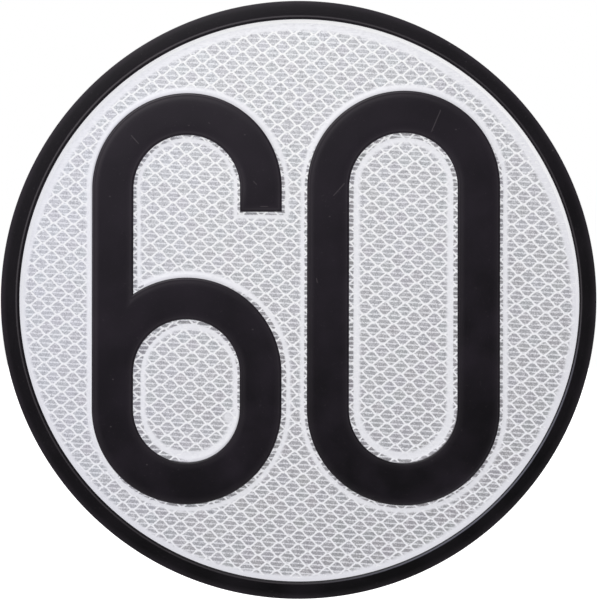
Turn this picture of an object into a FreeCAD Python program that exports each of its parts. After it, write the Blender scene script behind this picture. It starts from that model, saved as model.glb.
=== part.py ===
"""Round speed plate for the back of a vehicle: a disc of aluminium faced with reflective sheeting.

The rim and the figures 60 are pressed forward out of the white field and printed black, and the back
is hollow behind them. Lengths are millimetres. The face looks along -Y, +Z is up, and the origin is
the middle of the flat back, where the plate meets what it is fixed to.

Each layer lies between two skins. A skin is the whole relief, offset along its normals, on a block
of stock that reaches behind the plate. A layer is the block of its front skin less that of its rear
skin. The plate is one layer, and the print is a thin coat over it, kept inside the black outlines.
"""
import FreeCAD
import Part
import math
import os
import Sketcher
from FreeCAD import Rotation, Vector

SIZES = {
    # Blank, metal and sheeting together, and the coat of print on it
    "plate_diameter": 200.0,
    "plate_thickness": 1.4,
    "print_thickness": 0.05,
    # Pressed relief, measured on the front of the plate; a bend starts its setback from the corner
    "emboss_height": 1.6,
    "slope_angle": 45.0,
    "shoulder_setback": 0.55,
    "foot_setback": 1.2,
    "rim_width": 6.0,
    # The press tool sits a little off the middle of the blank
    "press_shift_x": 0.4,
    "press_shift_z": -0.15,
    # Figures, measured over their black outline from each figure's own middle
    "figure_width": 64.3,
    "figure_height": 138.2,
    "stroke_width": 14.1,
    "six_x": -36.65,
    "six_z": 0.3,
    "six_bowl_height": 76.2,
    "six_hook_end": 29.1,
    "zero_x": 36.15,
    "zero_z": 0.6,
    # Stock behind and outside the blank, which the cuts take away again
    "stock_depth": 4.0,
    "stock_step": 1.0,
    "stock_margin": 3.0,
}

# How a sketch numbers the points of an edge, its own origin and its upright axis
START, END, CENTRE = range(1, 4)
ORIGIN, UPRIGHT_AXIS = range(-1, -3, -1)

# Sides of a figure
LEFT, RIGHT = range(-1, 2, 2)

doc = FreeCAD.newDocument("SpeedPlate")
sheet = doc.addObject("Spreadsheet::Sheet", "Sizes")
for row, (alias, value) in enumerate(SIZES.items(), start=1):
    sheet.set(f"A{row}", alias)
    sheet.set(f"B{row}", str(value))
    sheet.setAlias(f"B{row}", alias)
doc.recompute()

# Formulas on the sheet that several pieces share
HALF_ANGLE = "tan(Sizes.slope_angle / 2)"
BEND_EASE = f"({HALF_ANGLE} - tan(Sizes.slope_angle / 4))"
ALONG_SLOPE = "cos(Sizes.slope_angle)"
DOWN_SLOPE = "sin(Sizes.slope_angle)"
SLOPE_RUN = "(Sizes.emboss_height / tan(Sizes.slope_angle))"
BLANK_RADIUS = "(Sizes.plate_diameter / 2)"
FIELD_RADIUS = f"({BLANK_RADIUS} - Sizes.rim_width)"
HALF_STROKE = "(Sizes.stroke_width / 2)"
OUTER_RADIUS = "(Sizes.figure_width / 2)"
INNER_RADIUS = f"({OUTER_RADIUS} - Sizes.stroke_width)"
STROKE_CENTRE = f"({OUTER_RADIUS} - {HALF_STROKE})"
TURN_CENTRE = "((Sizes.figure_height - Sizes.figure_width) / 2)"
BOWL_SIDE = "(Sizes.six_bowl_height - Sizes.figure_width)"
BOWL_CENTRE = f"({BOWL_SIDE} - {TURN_CENTRE})"


def value_of(formula):
    """What a formula on the sheet comes to."""
    return float(sheet.evalExpression(formula))


class Skin:
    """One surface of the relief, at a depth behind the front of the plate.

    Where its bends are eased, the shoulder ends and the slope starts on the edge of the black.
    """

    def __init__(self, name, depth, order, eased=True):
        self.name = name
        self.eased = eased
        self.corner = f"(0 - Sizes.shoulder_setback * {ALONG_SLOPE} - {depth} * {HALF_ANGLE})"
        self.shoulder = f"(Sizes.shoulder_setback - {depth} * {BEND_EASE})"
        self.foot = f"(Sizes.foot_setback + {depth} * {BEND_EASE})"
        self.ground = f"(Sizes.plate_thickness - {depth})"
        self.plateau = f"({self.ground} + Sizes.emboss_height)"
        self.stock = f"(Sizes.stock_depth + {order} * Sizes.stock_step)"

    def flank(self):
        """From plateau down to ground: how far outside the black edge, how far in front of the back."""
        high, low = self.corner, f"({self.corner} + {SLOPE_RUN})"
        if not self.eased:
            return [(high, self.plateau), (low, self.ground)]
        shoulder, foot = self.shoulder, self.foot
        return [
            (f"({high} - {shoulder})", self.plateau),
            (f"({high} + {shoulder} * {ALONG_SLOPE})", f"({self.plateau} - {shoulder} * {DOWN_SLOPE})"),
            (f"({low} - {foot} * {ALONG_SLOPE})", f"({self.ground} + {foot} * {DOWN_SLOPE})"),
            (f"({low} + {foot})", self.ground),
        ]


COAT = Skin("coat", "(0 - Sizes.print_thickness)", 0)
FACE = Skin("face", "0", 1)
BACK = Skin("back", "Sizes.plate_thickness", 2, eased=False)


def origin_feature(body, role):
    return next(item for item in body.Origin.OriginFeatures if item.Role == role)


def new_body(name, x, z):
    body = doc.addObject("PartDesign::Body", name)
    body.setExpression("Placement.Base.x", x)
    body.setExpression("Placement.Base.z", z)
    return body


def new_sketch(body, name, plane, height="0"):
    """A sketch on one of the body's origin planes, lifted off it by a formula."""
    sketch = body.newObject("Sketcher::SketchObject", name)
    sketch.AttachmentSupport = (origin_feature(body, plane), [""])
    sketch.MapMode = "FlatFace"
    sketch.setExpression("AttachmentOffset.Base.z", height)
    return sketch


def dimension(sketch, name, kind, *places, formula):
    """A named constraint bound to the sheet."""
    index = sketch.addConstraint(Sketcher.Constraint(kind, *places, value_of(formula)))
    sketch.renameConstraint(index, name)
    sketch.setExpression(f"Constraints.{name}", formula)


def cornered_sketch(body, name, plane, corners, height="0"):
    """A closed profile of straight edges, each corner placed by two formulas."""
    sketch = new_sketch(body, name, plane, height)
    points = [Vector(value_of(x), value_of(y), 0) for x, y in corners]
    for index, point in enumerate(points):
        follower = points[(index + 1) % len(points)]
        sketch.addGeometry(Part.LineSegment(point, follower), False)
    for index, (x, y) in enumerate(corners):
        before = (index - 1) % len(corners)
        sketch.addConstraint(Sketcher.Constraint("Coincident", before, END, index, START))
        dimension(sketch, f"x{index}", "DistanceX", ORIGIN, START, index, START, formula=x)
        dimension(sketch, f"y{index}", "DistanceY", ORIGIN, START, index, START, formula=y)
    return sketch


def stroke_section(body, name, skin, side, height):
    """Section through the stroke on the LEFT or RIGHT side of a figure, forward being -Y."""
    middle = f"({side} * {STROKE_CENTRE})"
    right = [(f"{middle} + {HALF_STROKE} + {out}", f"0 - {ahead}") for out, ahead in skin.flank()]
    left = [(f"{middle} - {HALF_STROKE} - {out}", f"0 - {ahead}") for out, ahead in skin.flank()]
    under = [(right[-1][0], skin.stock), (left[-1][0], skin.stock)]
    return cornered_sketch(body, name, "XY_Plane", right + under + left[::-1], height)


def pad(body, name, sketch, length, downward=False):
    feature = body.newObject("PartDesign::Pad", name)
    feature.Profile = sketch
    feature.setExpression("Length", length)
    feature.Reversed = downward
    return feature


def half_turn(body, name, sketch, side, over=True):
    """Carry a section from one side of the figure to the other, over the top or under the bottom."""
    feature = body.newObject("PartDesign::Revolution", name)
    feature.Profile = sketch
    feature.ReferenceAxis = (sketch, ["V_Axis"])
    feature.Angle = 180
    feature.Reversed = (side == LEFT) != over
    return feature


def zero_relief(skin):
    """The nought: one side and the turn below it, then the same again, turned about the middle."""
    tag = skin.name
    body = new_body(f"zero_{tag}", "Sizes.zero_x", "Sizes.zero_z")
    section = stroke_section(body, f"zero_section_{tag}", skin, LEFT, f"0 - {TURN_CENTRE}")
    side = pad(body, f"zero_side_{tag}", section, f"2 * {TURN_CENTRE}")
    turn = half_turn(body, f"zero_turn_{tag}", section, LEFT, over=False)
    halves = body.newObject("PartDesign::PolarPattern", f"zero_halves_{tag}")
    halves.Originals = [side, turn]
    halves.Axis = (origin_feature(body, "Y_Axis"), [""])
    halves.Angle = 360
    halves.Occurrences = 2
    body.Tip = halves
    return body


def hook_end_cut(body, skin):
    """Shape the square end of the hook like its sides, by cutting away what lies in front of it."""
    beyond = f"{skin.corner} + {SLOPE_RUN} + {skin.foot} + 2 * Sizes.stock_step"
    clear = f"0 - {skin.plateau} - Sizes.stock_step"
    slope = [(f"0 - {ahead}", f"Sizes.six_hook_end - {out}") for out, ahead in skin.flank()]
    floor = (f"0 - {skin.ground}", f"Sizes.six_hook_end - ({beyond})")
    corners = slope + [floor, (clear, floor[1]), (clear, slope[0][1])]
    cut = body.newObject("PartDesign::Pocket", f"six_hook_cut_{skin.name}")
    cut.Profile = cornered_sketch(body, f"six_hook_end_{skin.name}", "YZ_Plane", corners)
    cut.setExpression("Length", "Sizes.figure_width")
    cut.Reversed = True
    return cut


def six_relief(skin):
    """The six: a long side, turns above and below it, a hook with a square end, and the bowl."""
    tag = skin.name
    body = new_body(f"six_{tag}", "Sizes.six_x", "Sizes.six_z")
    low = f"0 - {TURN_CENTRE}"
    left_low = stroke_section(body, f"six_left_{tag}", skin, LEFT, low)
    pad(body, f"six_side_{tag}", left_low, f"2 * {TURN_CENTRE}")
    half_turn(body, f"six_lower_turn_{tag}", left_low, LEFT, over=False)
    hook = stroke_section(body, f"six_hook_{tag}", skin, RIGHT, TURN_CENTRE)
    half_turn(body, f"six_upper_turn_{tag}", hook, RIGHT)
    past_end = f"{skin.corner} + {SLOPE_RUN} + {skin.foot} + Sizes.stock_step"
    hook_length = f"{TURN_CENTRE} - Sizes.six_hook_end + {past_end}"
    pad(body, f"six_hook_side_{tag}", hook, hook_length, downward=True)
    hook_end_cut(body, skin)
    right_low = stroke_section(body, f"six_right_{tag}", skin, RIGHT, low)
    pad(body, f"six_bowl_side_{tag}", right_low, BOWL_SIDE)
    bowl_top = stroke_section(body, f"six_bowl_{tag}", skin, RIGHT, BOWL_CENTRE)
    body.Tip = half_turn(body, f"six_bowl_turn_{tag}", bowl_top, RIGHT)
    return body


def ground_relief(skin):
    """The field, the rim around it and the stock behind, all turned about the middle of the press."""
    tag = skin.name
    stock_radius = f"({BLANK_RADIUS} + Sizes.stock_margin)"
    slope = [(f"{FIELD_RADIUS} - {out}", f"0 - {ahead}") for out, ahead in skin.flank()]
    edge = [(stock_radius, slope[0][1]), (stock_radius, skin.stock)]
    corners = [("0", slope[-1][1])] + slope[::-1] + edge + [("0", skin.stock)]
    body = new_body(f"ground_{tag}", "Sizes.press_shift_x", "Sizes.press_shift_z")
    section = cornered_sketch(body, f"ground_section_{tag}", "XY_Plane", corners)
    turn = body.newObject("PartDesign::Revolution", f"ground_turn_{tag}")
    turn.Profile = section
    turn.ReferenceAxis = (section, ["V_Axis"])
    turn.Angle = 360
    body.Tip = turn
    return body


def skin_block(skin):
    """Everything behind one skin of the relief."""
    block = doc.addObject("Part::MultiFuse", f"block_{skin.name}")
    block.Shapes = [ground_relief(skin), six_relief(skin), zero_relief(skin)]
    return block


def through_cylinder(name, radius, x="0", z="0"):
    """A cylinder along Y that runs clear of every layer, front and back."""
    cylinder = doc.addObject("Part::Cylinder", name)
    reach = "(Sizes.stock_depth + 2 * Sizes.stock_step + Sizes.emboss_height)"
    cylinder.setExpression("Radius", radius)
    cylinder.setExpression("Height", f"2 * {reach}")
    cylinder.Placement.Rotation = Rotation(Vector(1, 0, 0), 90)
    cylinder.setExpression("Placement.Base.x", x)
    cylinder.setExpression("Placement.Base.y", reach)
    cylinder.setExpression("Placement.Base.z", z)
    return cylinder


class Contour:
    """Draws a contour of lines and arcs edge by edge and joins each edge to the one before."""

    def __init__(self, sketch, x, y):
        self.sketch = sketch
        self.here = Vector(x, y, 0)
        self.first = self.last = None

    def join(self, start, end, smooth):
        if self.last:
            kind = "Tangent" if smooth else "Coincident"
            self.sketch.addConstraint(Sketcher.Constraint(kind, *self.last, *start))
        self.first = self.first or start
        self.last = end

    def line(self, x, y, smooth=True):
        there = Vector(x, y, 0)
        index = self.sketch.addGeometry(Part.LineSegment(self.here, there), False)
        self.join((index, START), (index, END), smooth)
        self.here = there
        return index

    def arc(self, centre_y, turn, smooth=True):
        """An arc about a point on the upright axis, anticlockwise where turn is positive."""
        centre = Vector(0, centre_y, 0)
        spoke = self.here - centre
        begin = math.atan2(spoke.y, spoke.x)
        finish = begin + math.radians(turn)
        circle = Part.Circle(centre, Vector(0, 0, 1), spoke.Length)
        shape = Part.ArcOfCircle(circle, min(begin, finish), max(begin, finish))
        index = self.sketch.addGeometry(shape, False)
        ends = ((index, START), (index, END)) if turn > 0 else ((index, END), (index, START))
        self.join(*ends, smooth)
        self.sketch.addConstraint(Sketcher.Constraint("PointOnObject", index, CENTRE, UPRIGHT_AXIS))
        self.here = centre + Rotation(Vector(0, 0, 1), turn).multVec(spoke)
        return index

    def close(self, smooth=True):
        self.join(self.first, None, smooth)


def stadium(sketch, name, radius, low, high):
    """A ring of two straight sides and two half circles, about points low and high on the axis."""
    reach, below, above = value_of(radius), value_of(low), value_of(high)
    contour = Contour(sketch, reach, below)
    side = contour.line(reach, above)
    top = contour.arc(above, 180)
    contour.line(-reach, below)
    bottom = contour.arc(below, 180)
    contour.close()
    sketch.addConstraint(Sketcher.Constraint("Vertical", side))
    dimension(sketch, f"{name}_radius", "Radius", bottom, formula=radius)
    dimension(sketch, f"{name}_low", "DistanceY", ORIGIN, START, bottom, CENTRE, formula=low)
    dimension(sketch, f"{name}_high", "DistanceY", ORIGIN, START, top, CENTRE, formula=high)


def six_contour(sketch):
    """The outside of the six: from the end of the hook over the top, down, and round the bowl."""
    outer, inner = value_of(OUTER_RADIUS), value_of(INNER_RADIUS)
    high, low, bowl = value_of(TURN_CENTRE), -value_of(TURN_CENTRE), value_of(BOWL_CENTRE)
    end = value_of("Sizes.six_hook_end")
    crotch = math.degrees(math.acos(-inner / outer))
    contour = Contour(sketch, inner, end)
    hook_end = contour.line(outer, end)
    hook_outside = contour.line(outer, high, smooth=False)
    top = contour.arc(high, 180)
    spine = contour.line(-outer, low)
    bottom = contour.arc(low, 180)
    bowl_side = contour.line(outer, bowl)
    bowl_top = contour.arc(bowl, crotch)
    spine_inside = contour.line(-inner, high, smooth=False)
    top_inside = contour.arc(high, -180)
    hook_inside = contour.line(inner, end)
    contour.close(smooth=False)
    sketch.addConstraint(Sketcher.Constraint("Horizontal", hook_end))
    for upright in (hook_outside, spine, bowl_side, spine_inside, hook_inside):
        sketch.addConstraint(Sketcher.Constraint("Vertical", upright))
    dimension(sketch, "outer_radius", "Radius", top, formula=OUTER_RADIUS)
    dimension(sketch, "inner_radius", "Radius", top_inside, formula=INNER_RADIUS)
    dimension(sketch, "high", "DistanceY", ORIGIN, START, top, CENTRE, formula=TURN_CENTRE)
    dimension(sketch, "high_inside", "DistanceY", ORIGIN, START, top_inside, CENTRE, formula=TURN_CENTRE)
    dimension(sketch, "low", "DistanceY", ORIGIN, START, bottom, CENTRE, formula=f"0 - {TURN_CENTRE}")
    dimension(sketch, "bowl", "DistanceY", ORIGIN, START, bowl_top, CENTRE, formula=BOWL_CENTRE)
    dimension(sketch, "end", "DistanceY", ORIGIN, START, hook_end, START, formula="Sizes.six_hook_end")


def draw_six(sketch):
    six_contour(sketch)
    stadium(sketch, "counter", INNER_RADIUS, f"0 - {TURN_CENTRE}", BOWL_CENTRE)


def draw_zero(sketch):
    stadium(sketch, "outside", OUTER_RADIUS, f"0 - {TURN_CENTRE}", TURN_CENTRE)
    stadium(sketch, "counter", INNER_RADIUS, f"0 - {TURN_CENTRE}", TURN_CENTRE)


def figure_cutter(name, x, z, draw):
    """A figure's black outline carried through every layer."""
    body = new_body(name, x, z)
    sketch = new_sketch(body, f"{name}_outline", "XZ_Plane")
    draw(sketch)
    cutter = pad(body, f"{name}_pad", sketch, "4 * Sizes.stock_depth")
    cutter.SideType = "Symmetric"
    body.Tip = cutter
    return body


def combine(kind, name, *pieces):
    """A Common or a Fuse of all the pieces, or a Cut of the second out of the first."""
    if kind == "Cut":
        result = doc.addObject("Part::Cut", name)
        result.Base, result.Tool = pieces
    else:
        result = doc.addObject(f"Part::Multi{kind}", name)
        result.Shapes = list(pieces)
    return result


blank = through_cylinder("blank", BLANK_RADIUS)
field = through_cylinder("field", FIELD_RADIUS, "Sizes.press_shift_x", "Sizes.press_shift_z")
six_cutter = figure_cutter("six_cutter", "Sizes.six_x", "Sizes.six_z", draw_six)
zero_cutter = figure_cutter("zero_cutter", "Sizes.zero_x", "Sizes.zero_z", draw_zero)

coat_block, face_block, back_block = [skin_block(skin) for skin in (COAT, FACE, BACK)]
print_stock = combine("Cut", "print_stock", coat_block, face_block)
print_coat = combine("Common", "print_coat", print_stock, blank)
plate_stock = combine("Cut", "plate_stock", face_block, back_block)

sub_parts = {
    "pressed_plate": combine("Common", "pressed_plate", plate_stock, blank),
    "black_rim": combine("Cut", "black_rim", print_coat, field),
    "black_six": combine("Common", "black_six", print_coat, six_cutter),
    "black_zero": combine("Common", "black_zero", print_coat, zero_cutter),
}
for label, piece in sub_parts.items():
    piece.Label = label
doc.recompute()

for item in doc.Objects:
    if "Invalid" in item.State or "Error" in item.State:
        raise RuntimeError(f"{item.Name} failed: {item.getStatusString()}")
for label, piece in sub_parts.items():
    if piece.Shape.isNull() or not piece.Shape.isValid() or len(piece.Shape.Solids) != 1:
        raise RuntimeError(f"{label} is not one valid solid")

os.makedirs("parts", exist_ok=True)
for label, piece in sub_parts.items():
    piece.Shape.exportStep(f"parts/{label}.step")
    print(f"{label}: {piece.Shape.Volume:.1f} mm3, {len(piece.Shape.Faces)} faces")
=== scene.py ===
"""Round speed plate: a pressed disc with white prismatic sheeting, its rim and figures printed black."""
from math import acos, asin, atan2, cos, degrees, hypot, pi, radians, sin, tan

import bmesh
import bpy
from mathutils import Matrix, Vector


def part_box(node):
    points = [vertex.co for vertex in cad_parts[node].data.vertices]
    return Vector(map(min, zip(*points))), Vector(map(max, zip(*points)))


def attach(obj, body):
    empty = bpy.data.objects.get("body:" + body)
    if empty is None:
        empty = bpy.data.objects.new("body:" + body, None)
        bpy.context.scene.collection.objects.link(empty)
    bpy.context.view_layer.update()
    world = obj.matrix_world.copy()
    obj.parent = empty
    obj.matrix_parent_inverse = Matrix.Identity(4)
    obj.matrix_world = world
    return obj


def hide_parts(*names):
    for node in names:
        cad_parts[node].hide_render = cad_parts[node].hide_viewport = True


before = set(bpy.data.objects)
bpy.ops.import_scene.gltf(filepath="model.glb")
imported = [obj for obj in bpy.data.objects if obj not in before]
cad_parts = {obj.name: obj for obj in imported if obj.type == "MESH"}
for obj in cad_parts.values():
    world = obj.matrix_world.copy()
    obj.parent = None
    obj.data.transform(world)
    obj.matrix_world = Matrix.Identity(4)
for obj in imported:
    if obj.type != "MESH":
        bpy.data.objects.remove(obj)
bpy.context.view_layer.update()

MM = 0.001

# Relief, in millimetres: the face looks along -Y, and the flat back of the plate is at zero
PLATE_RADIUS = 100.0
PLATE_THICKNESS = 1.4
FILM_THICKNESS = 0.4
PRINT_THICKNESS = 0.05
EMBOSS = 1.6
SLOPE = radians(45)
SHOULDER_SETBACK = 0.55
FOOT_SETBACK = 1.2
RIM_WIDTH = 6.0
PRESS_MIDDLE = (0.4, -0.15)
EDGE_ROUND = 0.3
BACK_EDGE_BREAK = 0.12
BACK_SHOULDER_ROUND = 0.3
BACK_FOOT_ROUND = 3.0

# How far round the plate's front edge the rim's print reaches, in degrees
PRINT_TURN = 60

# Figures, measured on their black outlines
STROKE = 14.1
SIX_BOWL_HEIGHT = 76.2
SIX_HOOK_END = 29.1

FIELD_Y = -PLATE_THICKNESS
PLATEAU_Y = FIELD_Y - EMBOSS
BACK_PLATEAU_Y = PLATEAU_Y + PLATE_THICKNESS
FIELD_RADIUS = PLATE_RADIUS - RIM_WIDTH
HIGH_CORNER = -SHOULDER_SETBACK * cos(SLOPE)
SHOULDER_ROUND = SHOULDER_SETBACK / tan(SLOPE / 2)
FOOT_ROUND = FOOT_SETBACK / tan(SLOPE / 2)

# How finely the curves are divided
TURN_STEPS = 72
RIM_STEPS = 288
BEND_STEPS = 8

# Flat rows beside each slope: they keep the shading of the bends off the wide flats
FLAT_ROWS = (2.8, 3.4, 4.0)
COUNTER_FLAT_ROWS = (2.8, 3.4, 5.0)

# The plateaus are a little crowned: they fall away towards each shoulder
CROWN_DEPTH = 0.11
CROWN_START = -4.4
CROWN_ROWS = (-4.4, -3.9, -3.4, -2.9, -2.4, -1.9, -1.4)

# Edges that bend more than this are shaded sharp
SHARP_ANGLE = radians(32)

# Place of the bare metal in the plate's list of materials, after the sheeting
METAL = 1

# The press rubs a band of the sheeting smooth beside each slope. In a counter the band starts further out and
# is wider, which comes in between two levels. Low on the six it lies further out on what faces right
COUNTER_LATE = 0.45
COUNTER_WIDER = 0.65
COUNTER_WIDENS = (1.8, 3.3)
LOW_SIX_LATE = 0.5

# In the six's counter it starts further out still on what faces right, most of all at the upper left, and it
# ends sooner on what faces left
SIX_COUNTER_LATE = 0.3
UPPER_LEFT_LATE = 0.8
SIX_COUNTER_NARROWER = 0.35

# How smooth the slopes are rubbed in the low turn of each counter, where they face up more than the least
SIX_COUNTER_RUBBED = 0.9
ZERO_COUNTER_RUBBED = 0.2
LEAST_UP = 0.03

# Left of this place the slopes are rubbed smooth as well
OUTER_LEFT = -60.0

# From where to where each of these comes in: the low half of the plate by height, and what faces up or left
# by how far it faces up or right
LOW_HALF = (10, -10)
FACES_UP = (0.2, 0.6)
FACES_LEFT = (0.3, -0.2)

# Only in the sharp crotch of the six does a point of an outline move further than this from level to level
CROTCH_REACH = 2

# How far the ink on a shoulder is worn and carries a painted highlight, on the rim and on a figure. The same
# amounts darken the print as a painted shade and hold back the painted sheen on the shoulders
RIM_WEAR_AND_HIGHLIGHT = 1.0
FIGURE_WEAR_AND_HIGHLIGHT = 0.12


def part_way(value, start, end):
    """How far a value is on its way from start to end, from 0 to 1."""
    return min(1, max(0, (value - start) / (end - start)))


def figure_of(node):
    """Middle, outer radius and height of the turn centres of a figure, from its printed solid."""
    low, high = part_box(node)
    middle = ((low.x + high.x) / 2 / MM, (low.z + high.z) / 2 / MM)
    radius = (high.x - low.x) / 2 / MM
    return middle, radius, (high.z - low.z) / 2 / MM - radius


def arc(middle, radius, start, end):
    """Points along an arc, from one angle to the other in degrees."""
    turns = [radians(start + (end - start) * step / TURN_STEPS) for step in range(TURN_STEPS + 1)]
    return [(middle[0] + radius * cos(turn), middle[1] + radius * sin(turn)) for turn in turns]


def stadium(middle, radius, low, high):
    x, z = middle
    return arc((x, z + high), radius, 0, 180) + arc((x, z + low), radius, 180, 360)


def circle(middle, radius):
    turns = [2 * pi * step / RIM_STEPS for step in range(RIM_STEPS)]
    return [(middle[0] + radius * cos(turn), middle[1] + radius * sin(turn)) for turn in turns]


def plate_outline(radius):
    return circle((0, 0), radius)


def rim_outline(level):
    """The black's inner edge on the rim: a level grows towards the middle of the plate."""
    return circle(PRESS_MIDDLE, FIELD_RADIUS - level)


def zero_outline(level):
    middle, radius, turn = figure_of("black_zero")
    return stadium(middle, radius + level, -turn, turn)


def zero_counter(level):
    middle, radius, turn = figure_of("black_zero")
    return stadium(middle, radius - STROKE - level, -turn, turn)


def six_outline(level):
    """Over the arch, down the stem, round the bowl to the crotch, up inside the arch to the hook's end."""
    middle, radius, turn = figure_of("black_six")
    x, z = middle
    bowl = SIX_BOWL_HEIGHT - 2 * radius - turn
    outside, inside = radius + level, radius - STROKE - level
    crotch = degrees(acos(-inside / outside))
    hook = z + SIX_HOOK_END - level
    return (
        arc((x, z + turn), outside, 0, 180)
        + arc((x, z - turn), outside, 180, 360)
        + arc((x, z + bowl), outside, 0, crotch)
        + arc((x, z + turn), inside, 180, 0)
        + [(x + inside, hook), (x + outside, hook)]
    )


def six_counter(level):
    middle, radius, turn = figure_of("black_six")
    bowl = SIX_BOWL_HEIGHT - 2 * radius - turn
    return stadium(middle, radius - STROKE - level, -turn, bowl)


# The outline of each figure, and that of its counter
FIGURES = ((six_outline, six_counter), (zero_outline, zero_counter))
COUNTERS = (six_counter, zero_counter)


def slope_rows(plateau, ground, high_corner, shoulder, foot):
    """Rows of a pressed slope from plateau to ground: level outside the black edge, and height."""
    low_corner = high_corner + (ground - plateau) / tan(SLOPE)
    shoulder_start = high_corner - shoulder * tan(SLOPE / 2)
    foot_end = low_corner + foot * tan(SLOPE / 2)
    bends = [SLOPE * step / BEND_STEPS for step in range(BEND_STEPS + 1)]
    over = [(shoulder_start + shoulder * sin(bend), plateau + shoulder * (1 - cos(bend))) for bend in bends]
    under = [(foot_end - foot * sin(bend), ground - foot * (1 - cos(bend))) for bend in reversed(bends)]
    return over + under


def crown(level):
    """How far the plateau has fallen at a level: most where the shoulder starts, nothing on the slope."""
    shoulder_start = HIGH_CORNER - SHOULDER_SETBACK
    if level <= shoulder_start:
        return CROWN_DEPTH * max(0, (level - CROWN_START) / (shoulder_start - CROWN_START)) ** 2
    return CROWN_DEPTH * max(0, level / shoulder_start)


def crowned(rows):
    return [(level, y + crown(level)) for level, y in rows]


FRONT_ROWS = crowned(
    [(level, PLATEAU_Y) for level in CROWN_ROWS]
    + slope_rows(PLATEAU_Y, FIELD_Y, HIGH_CORNER, SHOULDER_ROUND, FOOT_ROUND)
)
BACK_HIGH_CORNER = HIGH_CORNER - PLATE_THICKNESS * tan(SLOPE / 2)
BACK_ROWS = slope_rows(BACK_PLATEAU_Y, 0.0, BACK_HIGH_CORNER, BACK_SHOULDER_ROUND, BACK_FOOT_ROUND)


class Shell:
    """A closed mesh made of rings of points at given heights, bands between them and flat fills."""

    def __init__(self, name):
        self.name = name
        self.mesh = bmesh.new()
        self.beyond = self.mesh.verts.layers.float.new("beyond_black")
        self.rubbed = self.mesh.verts.layers.float.new("rubbed")

    def ring(self, points, y, beyond=(), rubbed=()):
        """One closed ring. Its points also carry how far beyond the black and how rubbed they are."""
        ring = [self.mesh.verts.new((x * MM, y * MM, z * MM)) for x, z in points]
        for mark, amounts in ((self.beyond, beyond), (self.rubbed, rubbed)):
            for vertex, amount in zip(ring, amounts):
                vertex[mark] = amount
        return ring

    def band(self, one, other, material=0):
        for step in range(len(one)):
            following = (step + 1) % len(one)
            face = self.mesh.faces.new((one[step], one[following], other[following], other[step]))
            face.material_index = material

    def bands(self, rings, material=0):
        for one, other in zip(rings, rings[1:]):
            self.band(one, other, material)

    def flat(self, rings, material=0):
        """Fills the level ground that the rings bound."""
        sides = [(ring[step - 1], ring[step]) for ring in rings for step in range(len(ring))]
        edges = [self.mesh.edges.get(side) or self.mesh.edges.new(side) for side in sides]
        made = bmesh.ops.triangle_fill(self.mesh, use_beauty=True, edges=edges)
        for face in made["geom"]:
            if isinstance(face, bmesh.types.BMFace):
                face.material_index = material

    def piece(self, materials, node):
        """Makes the finished piece, in place of its plain solid."""
        bmesh.ops.recalc_face_normals(self.mesh, faces=self.mesh.faces)
        data = bpy.data.meshes.new(self.name)
        self.mesh.to_mesh(data)
        self.mesh.free()
        for material in materials:
            data.materials.append(material)
        data.shade_smooth()
        data.set_sharp_from_angle(angle=SHARP_ANGLE)
        made = bpy.data.objects.new(self.name, data)
        bpy.context.scene.collection.objects.link(made)
        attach(made, "root")
        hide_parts(node)


def facing(outline):
    """Which way each point of an outline faces, away from the black."""
    return [(far_x - x, far_z - z) for (x, z), (far_x, far_z) in zip(outline(0), outline(1))]


def rubbed_points(outline):
    """How smooth the press has left each point of an outline's slope, from 0 to 1."""
    points = outline(0)
    if outline == rim_outline:
        return [1.0] * len(points)
    if outline in COUNTERS:
        most = SIX_COUNTER_RUBBED if outline == six_counter else ZERO_COUNTER_RUBBED
        return [
            most * part_way(right, *FACES_LEFT) if up > LEAST_UP else 0.0
            for right, up in facing(outline)
        ]
    amounts = []
    for (x, z), (right, up) in zip(points, facing(outline)):
        in_crotch = hypot(right, up) > CROTCH_REACH
        amounts.append(1.0 if x < OUTER_LEFT else 0.0 if in_crotch else part_way(up, *FACES_UP))
    return amounts


def beyond_points(outline, level):
    """How far beyond the black each point of an outline seems to be, going by its pattern."""
    widened = 0.0
    if outline in COUNTERS:
        widened = part_way(level, *COUNTER_WIDENS)
        level -= COUNTER_LATE + COUNTER_WIDER * widened
    if outline in (rim_outline, zero_outline, zero_counter):
        return [level] * len(outline(0))
    low = [part_way(z, *LOW_HALF) for x, z in outline(0)]
    beyond = [level - LOW_SIX_LATE * amount * right for amount, (right, up) in zip(low, facing(outline))]
    if outline == six_counter:
        beyond = [
            seems + SIX_COUNTER_NARROWER * widened * max(0, -right)
            - (SIX_COUNTER_LATE + UPPER_LEFT_LATE * max(0, -up)) * max(0, right - max(0, up)) * (1 - widened)
            for seems, (right, up) in zip(beyond, facing(outline))
        ]
    return beyond


def face_flank(shell, outline):
    """One pressed slope on the front. Returns its rings next to the plateau and next to the field."""
    flat_rows = COUNTER_FLAT_ROWS if outline in COUNTERS else FLAT_ROWS
    rows = FRONT_ROWS + [(level, FIELD_Y) for level in flat_rows]
    rubbed = rubbed_points(outline)
    rings = [shell.ring(outline(level), y, beyond_points(outline, level), rubbed) for level, y in rows]
    shell.bands(rings)
    return rings[0], rings[-1]


def back_flank(shell, outline):
    rings = [shell.ring(outline(level), y) for level, y in BACK_ROWS]
    shell.bands(rings, METAL)
    return rings[0], rings[-1]


def pressed_side(shell, flank, material=0):
    """Plateaus, counters and field of one side. Returns the ring of the rim's plateau at its slope."""
    rim_top, rim_ground = flank(shell, rim_outline)
    field = [rim_ground]
    for outline, counter in FIGURES:
        top, ground = flank(shell, outline)
        counter_top, counter_ground = flank(shell, counter)
        shell.flat([top, counter_top], material)
        shell.flat([counter_ground], material)
        field.append(ground)
    shell.flat(field, material)
    return rim_top


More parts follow.
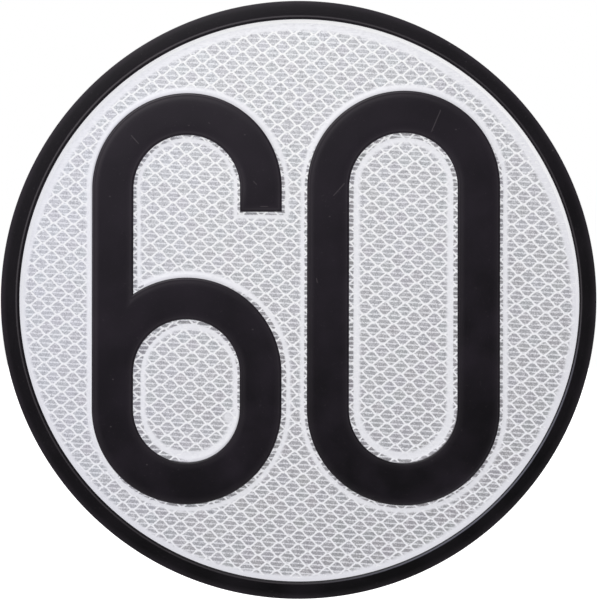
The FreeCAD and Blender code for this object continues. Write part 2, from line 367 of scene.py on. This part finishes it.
def rounding(end=90, proud=0.0):
    """Radii and heights round the plate's front edge, for a surface that stands proud of it."""
    bends = [radians(end * step / BEND_STEPS) for step in range(BEND_STEPS + 1)]
    reach = EDGE_ROUND + proud
    middle, middle_y = PLATE_RADIUS - EDGE_ROUND, PLATEAU_Y + EDGE_ROUND
    return [(middle + reach * sin(bend), middle_y - reach * cos(bend)) for bend in bends]


def pressed_plate(sheeting, metal):
    shell = Shell("pressed_plate_visual")
    rim_top = pressed_side(shell, face_flank)
    edge = [-RIM_WIDTH] * RIM_STEPS
    rounded = [shell.ring(plate_outline(radius), y, edge) for radius, y in rounding()]
    film_edge = shell.ring(plate_outline(PLATE_RADIUS), PLATEAU_Y + FILM_THICKNESS)
    shell.flat([rim_top, rounded[0]])
    shell.bands(rounded + [film_edge])
    lip = shell.ring(plate_outline(PLATE_RADIUS), BACK_PLATEAU_Y - BACK_EDGE_BREAK)
    inner_lip = shell.ring(plate_outline(PLATE_RADIUS - BACK_EDGE_BREAK), BACK_PLATEAU_Y)
    shell.bands([film_edge, lip, inner_lip], METAL)
    back_top = pressed_side(shell, back_flank, METAL)
    shell.flat([inner_lip, back_top], METAL)
    shell.piece([sheeting, metal], "pressed_plate")


def coat_rows():
    """Rows of the print over a shoulder, from its plateau to its edge on the black outline."""
    start = HIGH_CORNER - SHOULDER_SETBACK
    reach = SHOULDER_ROUND + PRINT_THICKNESS
    last = asin(-start / reach)
    bends = [last * step / BEND_STEPS for step in range(BEND_STEPS + 1)]
    front = PLATEAU_Y - PRINT_THICKNESS
    over = [(start + reach * sin(bend), front + reach * (1 - cos(bend))) for bend in bends]
    return crowned([(level, front) for level in CROWN_ROWS] + over)


def coat_flank(shell, outline, wear_and_highlight):
    """The print's front over a shoulder, its cut edge and its rear, which lies on the sheeting."""
    under = FRONT_ROWS[:len(CROWN_ROWS) + BEND_STEPS + 1]
    count = len(outline(0))
    rows = coat_rows() + under[::-1]
    rings = [shell.ring(outline(level), y, [level] * count, [wear_and_highlight] * count) for level, y in rows]
    shell.bands(rings)
    return rings[0], rings[-1]


def printed_figure(name, outline, counter, black):
    shell = Shell(f"{name}_visual")
    front, rear = coat_flank(shell, outline, FIGURE_WEAR_AND_HIGHLIGHT)
    counter_front, counter_rear = coat_flank(shell, counter, FIGURE_WEAR_AND_HIGHLIGHT)
    shell.flat([front, counter_front])
    shell.flat([rear, counter_rear])
    shell.piece([black], name)


def printed_rim(black):
    shell = Shell("black_rim_visual")
    front, rear = coat_flank(shell, rim_outline, RIM_WEAR_AND_HIGHLIGHT)
    over = rounding(PRINT_TURN, PRINT_THICKNESS)
    under = rounding(PRINT_TURN)
    edge = [-RIM_WIDTH] * RIM_STEPS
    rings = [shell.ring(plate_outline(radius), y, edge) for radius, y in over + under[::-1]]
    shell.bands(rings)
    shell.flat([front, rings[0]])
    shell.flat([rear, rings[-1]])
    shell.piece([black], "black_rim")


class Wire:
    """A socket of a finish, so that shader maths is written as arithmetic."""

    def __init__(self, finish, socket):
        self.finish = finish
        self.socket = socket

    def other(self, output):
        """Another output of the same node."""
        return Wire(self.finish, self.socket.node.outputs[output])

    def math(self, operation, *others):
        """A Math node on this value and the others, in that order."""
        return self.finish.node("Math", dict(enumerate((self, *others))), operation=operation)

    def __add__(self, value):
        return self.math("ADD", value)

    def __radd__(self, value):
        return self.math("ADD", value)

    def __sub__(self, value):
        return self.math("SUBTRACT", value)

    def __rsub__(self, value):
        return self.finish.node("Math", {0: value, 1: self}, operation="SUBTRACT")

    def __mul__(self, value):
        return self.math("MULTIPLY", value)

    def __rmul__(self, value):
        return self.math("MULTIPLY", value)

    def __truediv__(self, value):
        return self.math("DIVIDE", value)

    def __abs__(self):
        return self.math("ABSOLUTE")

    def floor(self):
        return self.math("FLOOR")

    def fraction(self):
        return self.math("FRACT")

    def to_whole(self):
        """Distance to the nearest whole number."""
        return abs((self + 0.5).fraction() - 0.5)

    def clamp(self):
        return self.finish.node("Clamp", {"Value": self})

    def rise(self, low, high):
        """From 0 below low to 1 above high, smoothly."""
        settings = {"interpolation_type": "SMOOTHSTEP"}
        return self.finish.node("MapRange", {"Value": self, "From Min": low, "From Max": high}, **settings)


class Finish:
    """The nodes of a material or of the world, added by type, with their settings and then their sockets."""

    def __init__(self, owner):
        self.owner = owner
        owner.use_nodes = True
        owner.node_tree.nodes.clear()

    def node(self, kind, inputs=None, output=0, **settings):
        made = self.owner.node_tree.nodes.new(f"ShaderNode{kind}")
        for setting, value in settings.items():
            setattr(made, setting, value)
        for socket, value in (inputs or {}).items():
            if isinstance(value, Wire):
                self.owner.node_tree.links.new(value.socket, made.inputs[socket])
            else:
                made.inputs[socket].default_value = value
        return Wire(self, made.outputs[output]) if made.outputs else None

    def place(self):
        """Millimetres across and up the plate, and the point itself."""
        point = self.node("TexCoord", output="Object")
        across = self.node("SeparateXYZ", {"Vector": point})
        return across / MM, across.other("Z") / MM, point

    def mark(self, name):
        """A number that each point of a mesh carries."""
        return self.node("Attribute", output="Fac", attribute_name=name)

    def normal(self):
        """How far the surface faces right, and how far up, from -1 to 1."""
        right = self.node("SeparateXYZ", {"Vector": self.node("NewGeometry", output="Normal")})
        return right, right.other("Z")

    def noise(self, point, size, detail=2.0):
        """Noise around zero, with lumps of about the given size in millimetres."""
        return self.node("TexNoise", {"Vector": point, "Scale": 1 / (size * MM), "Detail": detail}) - 0.5

    def streaks(self, x, z, size, stretch, detail=3.0):
        """Noise around zero, drawn out sideways."""
        place = self.node("CombineXYZ", {"X": x * (MM / stretch), "Y": 0.0, "Z": z * MM})
        return self.noise(place, size, detail)

    def tint(self, mask, plain, marked, share=1):
        """One colour where the mask is 0, and a share of the way to the other where it is 1."""
        amount = mask if share == 1 else mask * share
        # The colour sockets have the same names as the number sockets, so all go by their place
        return self.node("Mix", {0: amount, 6: plain, 7: marked}, 2, data_type="RGBA")

    def bump(self, height, strength=1.0):
        """A bump from heights in millimetres."""
        return self.node("Bump", {"Height": height, "Distance": MM, "Strength": strength})

    def surface(self, **sockets):
        """Ends the material in one shader. A name's underscores stand for spaces."""
        inputs = {name.replace("_", " "): value for name, value in sockets.items()}
        self.node("OutputMaterial", {"Surface": self.node("BsdfPrincipled", inputs)})
        return self.owner


def rgb(red, green, blue):
    """A colour given as it looks on a screen, from 0 to 255."""
    def linear(value):
        value /= 255
        return value / 12.92 if value <= 0.04045 else ((value + 0.055) / 1.055) ** 2.4
    return (linear(red), linear(green), linear(blue), 1.0)


def length_of(x, z):
    """How far a place is from the point that its two measures start at."""
    return (x * x + z * z).math("SQRT")


# The share of a line's half width that is fully marked
LINE_CORE = 0.3


def near_line(x, z, start, end, half_width):
    """1 along a straight line between two points, 0 beyond half its width."""
    run, lift = end[0] - start[0], end[1] - start[1]
    from_x, from_z = x - start[0], z - start[1]
    along = ((from_x * run + from_z * lift) / hypot(run, lift) ** 2).clamp()
    off_line = length_of(from_x - along * run, from_z - along * lift)
    return 1 - off_line.rise(half_width * LINE_CORE, half_width)


def to_lower_right(x, z, span):
    """From 0 at the upper left of the plate, where the light comes from, to 1 at the lower right."""
    return ((x * 0.5 - z) / span + 0.5).clamp()


# Sizes of the lumps in each noise, in millimetres, and how many times its streaks are drawn out
GRAIN_SIZE = 0.45
RAGGED_SIZE = 1.3
SPOT_SIZE = 0.4
STREAK_SIZE = 0.4
CLOUD_SIZE = 14.0
DUST_SIZE = 0.7
SMUDGE_SIZE = 22.0
FLOOR_CLOUD_SIZE = 300.0
FILM_STRETCH = 6.0
ROLLING_STRETCH = 50.0

# The net of the sheeting: pitches, turn, one of its crossings and half the level piece that two lines share
# there. A line is full white out to the first distance from its middle, and ends at the second. The height
# is that of its bump, and of the smooth bands
NET_ACROSS = 6.693
NET_DOWN = 4.7365
NET_TURN = radians(3.85)
NET_CROSSING = (-0.08, -0.97)
NET_LEVEL_HALF = 0.49
NET_SLOPE = atan2(NET_DOWN / 2, NET_ACROSS / 2 - 2 * NET_LEVEL_HALF)
NET_SPACING = NET_ACROSS * sin(NET_SLOPE)
NET_CORNER = 1.6
NET_LINE = (0.07, 0.47)
NET_HEIGHT = 0.02

# Its rows of prisms: pitch, turn, and how far the first light line is from the middle of the plate, in rows
PRISM_PITCH = 1.574
PRISM_TURN = radians(3.759)
PRISM_START = 0.083

# How far beyond the black each of these ends: the painted shade under the ink's edge, the painted shade close
# to the black and the tone of a slope. Then where the smooth band of a figure starts and ends. The points
# this near to the rim carry their distance from its black, so no figure's band is there
SHADE_UNDER_INK_ENDS = (-0.4, 0.0)
SHADE_BY_BLACK_ENDS = (0.2, 0.8)
SLOPE_ENDS = (0.9, 1.3)
FIGURE_BAND_STARTS = (0.7, 1.2)
FIGURE_BAND_ENDS = (1.6, 2.7)
RIM_POINTS_END = (3.9, 4.1)

# The smooth band beside the rim's slope: its width low on the plate, how much wider it is high on the plate,
# from where to where it widens, in how many millimetres to the right it grows by one, and its soft edge
RIM_BAND = 1.9
RIM_BAND_WIDER = 1.7
HIGH = (-15, 50)
RIM_BAND_SKEW = 300
RIM_BAND_EDGE = (-0.6, 0.6)

# Patches that the press has rubbed smooth as well, each along a line, and half their width
RUBBED_PATCHES = (
    ((-22.6, -39.4), (-19.4, -43.4)),
    ((77.4, 48.8), (80.8, 45.4)),
)
PATCH_HALF_WIDTH = 2.4

# Tones of the sheeting. Those in pairs are at the upper left and at the lower right of the plate, darker at
# the lower right as a painted shading of the light from the upper left, and change from the one to the other
# over the span, in millimetres
LIGHT_SPAN = 190
PRISM_DARK = (rgb(204, 205, 211), rgb(162, 161, 167))
PRISM_LIGHT = (rgb(242, 243, 248), rgb(228, 228, 234))
PRISM_ON_SLOPE = rgb(124, 121, 126)
CELL = rgb(160, 160, 167)
DARK_SPOT = rgb(130, 129, 135)
LIGHT_SPOT = rgb(252, 252, 255)
STRAND = (rgb(254, 254, 255), rgb(245, 245, 250))
STRAND_SPOT = rgb(190, 190, 196)
BAND = rgb(244, 244, 249)
BAND_SHADED_LOW = rgb(236, 236, 242)
RIM_BAND_SHADED_LOW = rgb(226, 226, 233)
BAND_GLEAM = rgb(254, 254, 255)
BAND_SHADE = rgb(190, 190, 198)
BAND_STREAK = rgb(208, 208, 215)
SLOPE_LIT_FACING_DOWN = rgb(254, 254, 255)
SLOPE_SHADED_FACING_UP = rgb(230, 230, 236)
SLOPE_SHADED_LOWER_RIGHT = rgb(226, 226, 233)
SLOPE_SHADE_BY_BLACK = rgb(140, 138, 144)
SHADE_UNDER_INK = rgb(104, 102, 108)
BLUISH = rgb(212, 214, 240)

# How far left of the middle the bluish tone comes in, and how far right of it the shade of slopes that face
# left ends
BLUISH_COMES = (10, 90)
LEFTWARD_ENDS = (0, 20)


def sheeting_net(x, z):
    """How far a point is from the net's nearest line, and a number and a colour for its cell."""
    x = x - NET_CROSSING[0]
    z = z - NET_CROSSING[1]
    across = (x * cos(NET_TURN) - z * sin(NET_TURN)) / NET_ACROSS
    down = (x * sin(NET_TURN) + z * cos(NET_TURN)) / -NET_DOWN
    stepped = down + (1 - (down * 2).fraction() * 2) * (NET_LEVEL_HALF / NET_ACROSS)
    falling, rising = stepped + across, stepped - across
    one = falling.to_whole() * NET_SPACING
    distance = one.math("SMOOTH_MIN", rising.to_whole() * NET_SPACING, NET_CORNER)
    cell = x.finish.node("CombineXYZ", {"X": falling.floor(), "Y": rising.floor()})
    chance = x.finish.node("TexWhiteNoise", {"Vector": cell}, noise_dimensions="3D")
    return distance, chance, chance.other("Color")


def prism_line(x, z):
    """How far a point is from the nearest light line of the prisms, in rows."""
    row = (x * sin(PRISM_TURN) + z * cos(PRISM_TURN)) / -PRISM_PITCH + PRISM_START
    return row.to_whole()


class Film(Finish):
    """The finish of the sheeting, with the place, noises and masks that its tones share."""

    def __init__(self):
        super().__init__(bpy.data.materials.new("white_prismatic_sheeting"))
        self.x, self.z, point = self.place()
        self.lower_right = to_lower_right(self.x, self.z, LIGHT_SPAN)
        self.grain = self.noise(point, GRAIN_SIZE, 3.0)
        self.ragged = self.noise(point, RAGGED_SIZE, 3.0)
        self.spots = self.noise(point, SPOT_SIZE)
        self.streaked = self.streaks(self.x, self.z, STREAK_SIZE, FILM_STRETCH)
        self.beyond = self.mark("beyond_black")
        self.rubbed = self.mark("rubbed")
        self.slope = 1 - (self.beyond + self.ragged * 0.3).rise(*SLOPE_ENDS)
        self.beyond_rim = FIELD_RADIUS - length_of(self.x - PRESS_MIDDLE[0], self.z - PRESS_MIDDLE[1])
        self.high = self.z.rise(*HIGH)
        reach = self.high * RIM_BAND_WIDER + self.x / RIM_BAND_SKEW + RIM_BAND
        self.by_rim = 1 - (self.beyond_rim + self.ragged * 1.6 - reach).rise(*RIM_BAND_EDGE)


def prism_tone(film, chance, hue):
    """Grey prisms with a light line along each row, a little different from cell to cell."""
    # Painted shading: the prisms are darker towards the lower right, away from the light
    dark = film.tint(film.lower_right, *PRISM_DARK)
    dark = film.tint(film.slope, dark, PRISM_ON_SLOPE, share=0.75)
    light = film.tint(film.lower_right, *PRISM_LIGHT)
    glint = 1 - (prism_line(film.x, film.z) + film.streaked * 0.28).rise(0.05, 0.25)
    tone = film.tint(glint, dark, light)
    tone = film.tint(chance, tone, CELL, share=0.16)
    tone = film.tint(1, tone, hue, share=0.013)
    tone = film.tint((film.spots * -1).rise(0.02, 0.2), tone, DARK_SPOT, share=0.6)
    return film.tint(film.spots.rise(0.02, 0.2), tone, LIGHT_SPOT, share=0.4)


def strand_tone(film):
    """The welded white lines of the net."""
    # Painted shading: the net is darker towards the lower right, away from the light
    tone = film.tint(film.lower_right, *STRAND)
    return film.tint((film.spots * -1).rise(0.02, 0.25), tone, STRAND_SPOT, share=0.3)


def smooth_places(film):
    """Where the press has rubbed the sheeting smooth: beside the rim, beside the figures and in patches."""
    by_figure = (film.beyond + film.rubbed * 1.3 + film.ragged * 0.5).rise(*FIGURE_BAND_STARTS)
    by_figure = by_figure - (film.beyond + film.ragged * 1.2 - film.lower_right * 0.5).rise(*FIGURE_BAND_ENDS)
    by_figure = (by_figure - (1 - film.beyond_rim.rise(*RIM_POINTS_END))).clamp()
    smooth = film.by_rim.math("MAXIMUM", by_figure)
    for start, end in RUBBED_PATCHES:
        patch = near_line(film.x, film.z, start, end, PATCH_HALF_WIDTH) * (1 - film.slope) * 0.8
        smooth = smooth.math("MAXIMUM", patch)
    return smooth


def band_tone(film):
    """The film where it is rubbed smooth, with a gleam and faint streaks along it."""
    # Painted shading: the smooth bands are darker towards the lower right, away from the light
    tone = film.tint(film.lower_right, BAND, film.tint(film.by_rim, BAND_SHADED_LOW, RIM_BAND_SHADED_LOW))
    tone = film.tint((film.streaked * 2 + film.grain).rise(0.15, 0.5), tone, BAND_GLEAM)
    tone = film.tint((film.ragged * -1).rise(0.0, 0.25), tone, BAND_SHADE, share=0.2)
    streak = film.by_rim * film.high * (film.streaked * -1).rise(0.02, 0.15)
    return film.tint(streak, tone, BAND_STREAK, share=0.3)


def shaded_slope_tone(film):
    """The film on a pressed slope, with painted shade: darker as it faces up, towards the lower right and
    close to the black.
    """
    right, up = film.normal()
    # Painted shade: darker as the slope faces up, and towards the lower right
    tone = film.tint(up.rise(-0.6, 0.7), SLOPE_LIT_FACING_DOWN, SLOPE_SHADED_FACING_UP)
    tone = film.tint(film.lower_right.rise(0.5, 1.0), tone, SLOPE_SHADED_LOWER_RIGHT)
    leftward = (right * -1).rise(0.2, 0.6) * (1 - film.x.rise(*LEFTWARD_ENDS))
    # Painted shade on the slope close to the black, deeper on slopes that face left
    shade_by_black = (1 - film.beyond.rise(*SHADE_BY_BLACK_ENDS)) * (leftward * 0.3 + 0.25) * (1 - film.by_rim * 0.9)
    return film.tint(shade_by_black, tone, SLOPE_SHADE_BY_BLACK)


def white_sheeting():
    """Clear film over rows of prisms, held by a welded white net, and rubbed smooth beside each bend."""
    film = Film()
    distance, chance, hue = sheeting_net(film.x, film.z)
    net = 1 - (distance + film.grain * 0.5).rise(*NET_LINE)
    smooth = smooth_places(film)
    # Painted shade under the ink's edge, in the low turns of the counters
    shade_under_ink = (1 - film.beyond.rise(*SHADE_UNDER_INK_ENDS)) * film.rubbed.rise(0.0, 0.1)
    tone = film.tint(net, prism_tone(film, chance, hue), strand_tone(film))
    tone = film.tint(smooth, tone, band_tone(film), share=0.95)
    tone = film.tint(film.slope * film.rubbed, tone, shaded_slope_tone(film), share=0.9)
    tone = film.tint(shade_under_ink, tone, SHADE_UNDER_INK, share=0.8)
    tone = film.tint((film.x * -1).rise(*BLUISH_COMES), tone, BLUISH, share=0.14)
    bump = film.bump((net + smooth) * NET_HEIGHT, strength=0.6)
    return film.surface(Base_Color=tone, Roughness=0.4, Normal=bump)


# Light marks on the black: scratches from one point to another, and specks of dust and tiny chips
SCRATCHES = (
    ((-55.4, 55.2), (-53.0, 52.5)),
    ((-29.2, 59.4), (-28.9, 59.1)),
    ((-14.0, 39.6), (-13.0, 38.6)),
    ((-11.6, 31.2), (-9.3, 31.2)),
    ((45.5, 56.0), (48.5, 63.0)),
    ((12.9, 34.8), (16.5, 38.8)),
    ((7.2, 7.1), (7.5, 5.8)),
)
SCRATCH_HALF_WIDTH = 0.22
SPECKS = (
    (-36.0, 58.5), (-17.1, 55.3), (53.5, 56.6), (11.5, 27.8), (-62.8, 34.7),
    (-61.6, -26.9), (-62.3, -42.8), (-50.0, -55.5), (-14.3, -10.0),
    (51.4, 84.9), (85.5, 49.5), (-42.2, -84.9), (-10.1, -93.6),
)
SPECK_LENGTH = 0.2
SPECK_HALF_WIDTH = 0.3

# Tones of the print, at the lower right and the upper left of the plate, where a painted sheen makes it
# lighter, and those of its clouds, its darker rim, the painted sheen on its shoulders, its thin ink with a
# painted highlight, and its marks
PRINT_LIGHT_SPAN = 210
INK = (rgb(9, 6, 12), rgb(36, 29, 40))
INK_CLOUD = rgb(40, 31, 44)
SHADED_INK = rgb(4, 3, 5)
PAINTED_SHOULDER_SHEEN = rgb(106, 100, 106)
THIN_INK_HIGHLIGHT = (rgb(82, 77, 82), rgb(116, 116, 130))
INK_MARK = rgb(92, 86, 90)
INK_GRAIN_HEIGHT = 0.003

# The outermost part of the rim is a little paler, a painted highlight of its rounded edge, from the first
# radius to the second
OUTER_EDGE_HIGHLIGHT = rgb(66, 61, 66)
OUTER_RADII = (97.5, 100)

# Between which levels the painted sheen on a shoulder comes and goes, how strong it is all round, and how
# much stronger towards the light
SHEEN_COMES = (-2.9, -0.9)
SHEEN_GOES = (-0.7, -0.2)
SHEEN_ALL_ROUND = 0.045
SHEEN_TO_LIGHT = 0.44

# How far inside the black edge the ink is worn thin and carries a painted highlight, and how near to that
# line
WORN_HIGHLIGHT_INSIDE = 0.9
WORN_HIGHLIGHT_NEAR = (0.05, 0.4)

# How far right and down, added up, the rim's black edge is at the lower right
RIM_DIAGONAL = 133


def shoulder_sheen(finish, level, wear_and_highlight, upper_left):
    """A painted sheen on the figures' shoulders, most where they face the light."""
    right, up = finish.normal()
    strength = ((up - right) * 9).clamp() * ((upper_left - 0.2) * SHEEN_TO_LIGHT).clamp() + SHEEN_ALL_ROUND
    return level.rise(*SHEEN_COMES) * (1 - level.rise(*SHEEN_GOES)) * (1 - wear_and_highlight) * strength


def worn_shoulder_highlight(finish, x, z, level, wear_and_highlight, grain):
    """Where the ink is worn thin along a shoulder and carries a painted highlight, and its tone there."""
    diagonal = (x - z) / RIM_DIAGONAL
    shoulder = 1 - abs(level + WORN_HIGHLIGHT_INSIDE - diagonal * 0.25 + grain * 0.2).rise(*WORN_HIGHLIGHT_NEAR)
    worn_highlight = shoulder * wear_and_highlight * (diagonal * diagonal * 0.4 + 0.42)
    return worn_highlight, finish.tint(diagonal.rise(0.72, 0.98), *THIN_INK_HIGHLIGHT)


def light_marks(finish, x, z, point):
    """Fine dust, and the scratches, specks and chips at their places."""
    marks = finish.noise(point, DUST_SIZE).rise(0.16, 0.28) * 0.4
    for start, end in SCRATCHES:
        marks = marks.math("MAXIMUM", near_line(x, z, start, end, SCRATCH_HALF_WIDTH))
    for across, up in SPECKS:
        speck = near_line(x, z, (across, up), (across + SPECK_LENGTH, up), SPECK_HALF_WIDTH)
        marks = marks.math("MAXIMUM", speck)
    return marks


def black_print():
    """Satin screen ink with a painted sheen at the upper left and on the figures' shoulders, worn thin along
    the shoulders with a painted highlight there, and lightly scratched.
    """
    finish = Finish(bpy.data.materials.new("black_screen_print"))
    x, z, point = finish.place()
    cloud = finish.noise(point, CLOUD_SIZE, 4.0)
    grain = finish.noise(point, GRAIN_SIZE, 3.0)
    level = finish.mark("beyond_black")
    wear_and_highlight = finish.mark("rubbed")
    upper_left = 1 - to_lower_right(x, z, PRINT_LIGHT_SPAN)
    worn_highlight, thin_ink_highlight = worn_shoulder_highlight(finish, x, z, level, wear_and_highlight, grain)
    # Painted sheen: the print is lighter towards the upper left, where the light comes from
    tone = finish.tint(upper_left, *INK)
    tone = finish.tint((cloud * 1.6 + 0.25).clamp(), tone, INK_CLOUD)
    # Painted shade: the print is darker by its wear mark, most on the rim, which holds back the sheen there
    tone = finish.tint(wear_and_highlight, tone, SHADED_INK, share=0.55)
    # Painted highlight along the rim's rounded outer edge
    tone = finish.tint(length_of(x, z).rise(*OUTER_RADII), tone, OUTER_EDGE_HIGHLIGHT, share=0.2)
    # Painted sheen on the figures' shoulders, most where they face the light
    tone = finish.tint(shoulder_sheen(finish, level, wear_and_highlight, upper_left), tone, PAINTED_SHOULDER_SHEEN)
    # Ink worn thin along the shoulders, with a painted highlight
    tone = finish.tint(worn_highlight, tone, thin_ink_highlight)
    tone = finish.tint(light_marks(finish, x, z, point), tone, INK_MARK, share=0.4)
    bump = finish.bump(grain * INK_GRAIN_HEIGHT)
    return finish.surface(Base_Color=tone, Roughness=cloud * 0.08 + 0.36, Normal=bump)


# The bare metal: its two tones, and how deep its rolling lines are
ROLLED = (rgb(168, 170, 173), rgb(202, 203, 205))
ROLLING_DEPTH = 0.006


def bare_aluminium():
    """Mill-finish sheet: fine rolling lines along one way, and faint handling marks."""
    finish = Finish(bpy.data.materials.new("mill_aluminium"))
    x, z, point = finish.place()
    lines = finish.streaks(x, z, STREAK_SIZE, ROLLING_STRETCH, 5.0) + 0.5
    smudge = finish.noise(point, SMUDGE_SIZE, 3.0) + 0.5
    tone = finish.tint(lines * 0.5 + smudge * 0.5, *ROLLED)
    bump = finish.bump(lines * ROLLING_DEPTH)
    return finish.surface(Base_Color=tone, Metallic=1.0, Roughness=smudge * 0.18 + 0.3, Normal=bump)


# Where the plate is seen from
VIEW_AZIMUTH = radians(5.15)
VIEW_ELEVATION = radians(-0.34)
VIEW_ROLL = radians(0.10)
VIEW_DISTANCE = 753.0 * MM
VIEW_AIM = Vector((1.15, -2.65, -0.10)) * MM
LENS = 135.1
NEAREST_SEEN = 0.01


def camera():
    """A long lens, nearly square on and a little to the right."""
    forward = Vector((
        -sin(VIEW_AZIMUTH) * cos(VIEW_ELEVATION),
        cos(VIEW_AZIMUTH) * cos(VIEW_ELEVATION),
        -sin(VIEW_ELEVATION),
    ))
    level = Vector((cos(VIEW_AZIMUTH), sin(VIEW_AZIMUTH), 0.0))
    upright = level.cross(forward)
    right = level * cos(VIEW_ROLL) + upright * sin(VIEW_ROLL)
    up = upright * cos(VIEW_ROLL) - level * sin(VIEW_ROLL)
    data = bpy.data.cameras.new("camera")
    data.lens = LENS
    data.clip_start = NEAREST_SEEN
    made = bpy.data.objects.new("camera", data)
    turn = Matrix((right, up, -forward)).transposed().to_4x4()
    made.matrix_world = Matrix.Translation(VIEW_AIM - forward * VIEW_DISTANCE) @ turn
    bpy.context.scene.collection.objects.link(made)
    bpy.context.scene.camera = made


# The floor: its height, how far it reaches back and to the sides, and where it ends in front of the plate, so
# that the satin print doesn't mirror it. Its tones, and its glow to the camera, which makes it white
FLOOR_Z = -0.5
FLOOR_REACH = 20.0
FLOOR_FRONT = -0.5
FLOOR_TONES = (rgb(240, 240, 240), rgb(244, 244, 244))
FLOOR_GLOW = 0.75

# How bright the studio is to the plate, and to mirrored rays that leave its front. They reach the white
# behind the plate as their direction turns from the front to the back
STUDIO_LEVEL = 0.85
STUDIO_MIRRORED = 0.03
TURNED_BACK = (-0.6, -0.1)

# The lamp, in metres and watts
LAMP_PLACE = Vector((-0.20, -0.48, 0.37))
LAMP_SIZE = 0.35
LAMP_WATTS = 0.85


def floor():
    """A pale floor well below the hung plate, as white as the background to the camera."""
    finish = Finish(bpy.data.materials.new("pale_floor"))
    seen = finish.node("LightPath", output="Is Camera Ray")
    cloud = finish.noise(finish.place()[2], FLOOR_CLOUD_SIZE) + 0.5
    tone = finish.tint(cloud, *FLOOR_TONES)
    glow = finish.tint(seen, (0, 0, 0, 1), (1, 1, 1, 1))
    pale = finish.surface(Base_Color=tone, Roughness=0.8, Emission_Color=glow, Emission_Strength=FLOOR_GLOW)
    data = bpy.data.meshes.new("floor")
    corners = [(x, y, FLOOR_Z) for x in (-FLOOR_REACH, FLOOR_REACH) for y in (FLOOR_FRONT, FLOOR_REACH)]
    data.from_pydata(corners, [], [(0, 2, 3, 1)])
    data.materials.append(pale)
    made = bpy.data.objects.new("floor", data)
    bpy.context.scene.collection.objects.link(made)


def lamp():
    """A soft square lamp at the upper left, which looks at the middle of the plate."""
    data = bpy.data.lights.new("upper_left", "AREA")
    data.size = LAMP_SIZE
    data.energy = LAMP_WATTS
    made = bpy.data.objects.new("upper_left", data)
    made.location = LAMP_PLACE
    made.rotation_euler = (-LAMP_PLACE).to_track_quat("-Z", "Y").to_euler()
    made.visible_camera = False
    bpy.context.scene.collection.objects.link(made)


def surroundings():
    """White behind the plate and wherever the camera looks, and a dim even studio for the light."""
    world = bpy.data.worlds.new("studio")
    bpy.context.scene.world = world
    studio = Finish(world)
    seen = studio.node("LightPath", output="Is Camera Ray")
    mirrored, through = seen.other("Is Glossy Ray"), seen.other("Is Transmission Ray")
    towards = studio.node("SeparateXYZ", {"Vector": studio.node("TexCoord", output="Generated")}, "Y")
    white = (seen + through + mirrored * towards.rise(*TURNED_BACK)).clamp()
    dim = STUDIO_LEVEL - mirrored * (STUDIO_LEVEL - STUDIO_MIRRORED)
    background = studio.node("Background", {"Color": (1, 1, 1, 1), "Strength": white + (1 - white) * dim})
    studio.node("OutputWorld", {"Surface": background})


sheeting, metal, black = white_sheeting(), bare_aluminium(), black_print()
pressed_plate(sheeting, metal)
printed_rim(black)
printed_figure("black_six", six_outline, six_counter, black)
printed_figure("black_zero", zero_outline, zero_counter, black)

camera()
floor()
surroundings()
lamp()
bpy.context.scene.view_settings.view_transform = "Standard"
